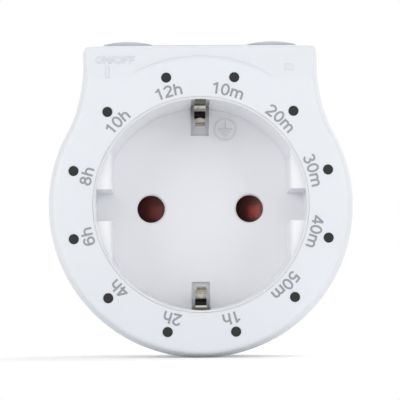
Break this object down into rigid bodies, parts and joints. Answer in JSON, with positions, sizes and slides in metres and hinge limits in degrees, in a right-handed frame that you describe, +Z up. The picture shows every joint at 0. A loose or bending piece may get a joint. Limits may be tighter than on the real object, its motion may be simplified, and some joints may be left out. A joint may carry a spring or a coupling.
{
  "type": "plug-in timer switch",
  "caption": "Plug-in countdown timer: round earthed socket with shutters in a ring of time windows, two push buttons on its shoulder, and an earthed plug behind.",
  "frame": {"origin": "centre of the plug's end face, midway between the two pins", "axes": "+Z up to the shoulder with the buttons, +Y along the plug pins into the wall socket, +X to the right for someone who looks at the front face"},
  "size_m": [0.057, 0.077, 0.0599],
  "materials": {
    "housing": "fine satin moulding",
    "insert": "satin",
    "surround": "satin",
    "button": "satin",
    "window": "smoked, glossy",
    "board": "solder mask",
    "led": "clear resin",
    "black_plastic": "moulded",
    "white_plastic": "moulded",
    "carrier_plastic": "moulded",
    "shutter_plastic": "moulded",
    "spring_steel": "drawn",
    "screw_steel": "zinc plated",
    "brass": "stamped",
    "spring_brass": "nickel plated, polished",
    "pin_nickel": "nickel plated",
    "copper": "stamped",
    "earth_nickel": "nickel plated",
    "relay_base_plastic": "moulded",
    "relay_plastic": "moulded",
    "winding": "enamelled wire",
    "yoke_steel": "plated",
    "tinned_wire": "tinned",
    "film_yellow": "moulded box",
    "capacitor_sleeve": "printed sleeve",
    "varistor_blue": "dipped",
    "fuse_coat": "cement",
    "resistor_coat": "lacquer"
  },
  "bodies": {
    "housing": {"front_cover": "housing", "rear_cover": "housing", "socket_insert": "insert", "button_bezel": "surround", "led_windows": "window", "led_board": "board", "leds": "led", "board_header": "black_plastic", "main_board": "board", "on_off_switch": "black_plastic", "timer_switch": "black_plastic", "shutter_spring": "spring_steel", "contact_carrier": "carrier_plastic", "carrier_screws": "screw_steel", "live_contact": "brass", "neutral_contact": "brass", "live_pin": "pin_nickel", "neutral_pin": "pin_nickel", "neutral_link": "copper", "live_feed_strip": "copper", "live_output_strip": "copper", "earth_strap": "earth_nickel", "earth_clip_top": "spring_brass", "earth_clip_bottom": "spring_brass", "relay_base": "relay_base_plastic", "relay_cover": "relay_plastic", "relay_coil": "winding", "relay_yoke": "yoke_steel", "relay_fixed_contact": "brass", "relay_terminals": "tinned_wire", "film_capacitor": "film_yellow", "smoothing_capacitor": "capacitor_sleeve", "varistor": "varistor_blue", "fuse_resistor": "fuse_coat", "controller_chip": "black_plastic", "rectifier_diodes": "black_plastic", "resistors": "resistor_coat", "housing_screws": "screw_steel"},
    "on_off_cap": {"on_off_button": "button"},
    "timer_cap": {"timer_button": "button"},
    "on_off_plunger": {"on_off_stem": "white_plastic"},
    "timer_plunger": {"timer_stem": "white_plastic"},
    "shutter_slider": {"shutter": "shutter_plastic"},
    "armature": {"relay_armature": "yoke_steel"}
  },
  "joints": [
    {"name": "on_off_press", "type": "slide", "parent": "housing", "child": "on_off_cap", "axis": [0, 0, -1], "range_m": [0, 0.0005], "stiffness_N_per_m": 1500, "springref_m": -0.0005},
    {"name": "timer_press", "type": "slide", "parent": "housing", "child": "timer_cap", "axis": [0, 0, -1], "range_m": [0, 0.0005], "stiffness_N_per_m": 1500, "springref_m": -0.0005},
    {"name": "on_off_plunge", "type": "slide", "parent": "housing", "child": "on_off_plunger", "axis": [0, 0, -1], "range_m": [0, 0.0005]},
    {"name": "timer_plunge", "type": "slide", "parent": "housing", "child": "timer_plunger", "axis": [0, 0, -1], "range_m": [0, 0.0005]},
    {"name": "shutter_slide", "type": "slide", "parent": "housing", "child": "shutter_slider", "axis": [1, 0, 0], "range_m": [0, 0.006], "stiffness_N_per_m": 100, "springref_m": -0.004, "deforming": ["shutter_spring"]},
    {"name": "armature_close", "type": "hinge", "parent": "housing", "child": "armature", "pos_m": [0.0077, -0.0368, 0.00945], "axis": [1, 0, 0], "range_deg": [0, 4], "stiffness_Nm_per_rad": 0.02, "springref_deg": -5.73}
  ],
  "couplings": [
    {"joint": "on_off_plunge", "follows": "on_off_press", "ratio": 1},
    {"joint": "timer_plunge", "follows": "timer_press", "ratio": 1}
  ]
}
